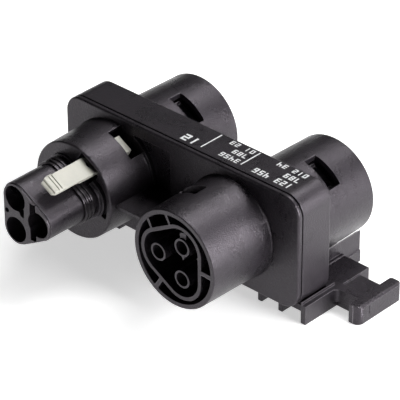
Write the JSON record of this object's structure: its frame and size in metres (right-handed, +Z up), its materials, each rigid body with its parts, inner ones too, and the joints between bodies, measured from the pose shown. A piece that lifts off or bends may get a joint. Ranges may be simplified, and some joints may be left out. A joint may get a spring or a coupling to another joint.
{
  "type": "power distribution block",
  "caption": "Plastic power distribution block with one pin plug port, several socket ports, internal busbars, a rocking lock lever and a mounting foot.",
  "frame": {"origin": "middle of the bounding box in X and Y, at its lowest point", "axes": "+X along the box towards the foot, +Y from the front ports to the rear ports, +Z up"},
  "size_m": [0.0968, 0.069, 0.0377],
  "materials": {
    "body_plastic": "fine grained charcoal moulding",
    "inner_plastic": "smooth black moulding",
    "lever_plastic": "cream moulding",
    "seal_rubber": "soft black rubber",
    "tinned_contact": "tin plated",
    "busbar_metal": "bare rolled strip",
    "spring_steel": "rolled spring strip",
    "print_ink": "thin white print on the top face"
  },
  "bodies": {
    "block": {"front_cover": "body_plastic", "rear_housing": "body_plastic", "housing_seal": "seal_rubber", "plug_collar": "body_plastic", "plug_insulator": "body_plastic", "plug_insulator_base": "body_plastic", "plug_seal": "seal_rubber", "lever_spring": "spring_steel", "plug_pin_line": "tinned_contact", "plug_pin_neutral": "tinned_contact", "plug_pin_earth": "tinned_contact", "front_socket_shell": "body_plastic", "front_socket_carrier": "body_plastic", "front_socket_sleeves": "tinned_contact", "rear_left_socket_shell": "body_plastic", "rear_left_socket_carrier": "body_plastic", "rear_left_socket_sleeves": "tinned_contact", "rear_right_socket_shell": "body_plastic", "rear_right_socket_carrier": "body_plastic", "rear_right_socket_sleeves": "tinned_contact", "busbar_line": "busbar_metal", "busbar_neutral": "busbar_metal", "busbar_earth": "busbar_metal", "busbar_carrier": "inner_plastic", "busbar_cover": "inner_plastic", "mounting_foot": "body_plastic"},
    "lever": {"lock_lever": "lever_plastic"}
  },
  "joints": [
    {"name": "lock_rocker", "type": "hinge", "parent": "block", "child": "lever", "pos_m": [-0.0256, -0.0106, 0.02936], "axis": [0.866, 0, -0.5], "range_deg": [0, 4], "stiffness_Nm_per_rad": 0.05, "springref_deg": -5.73}
  ]
}
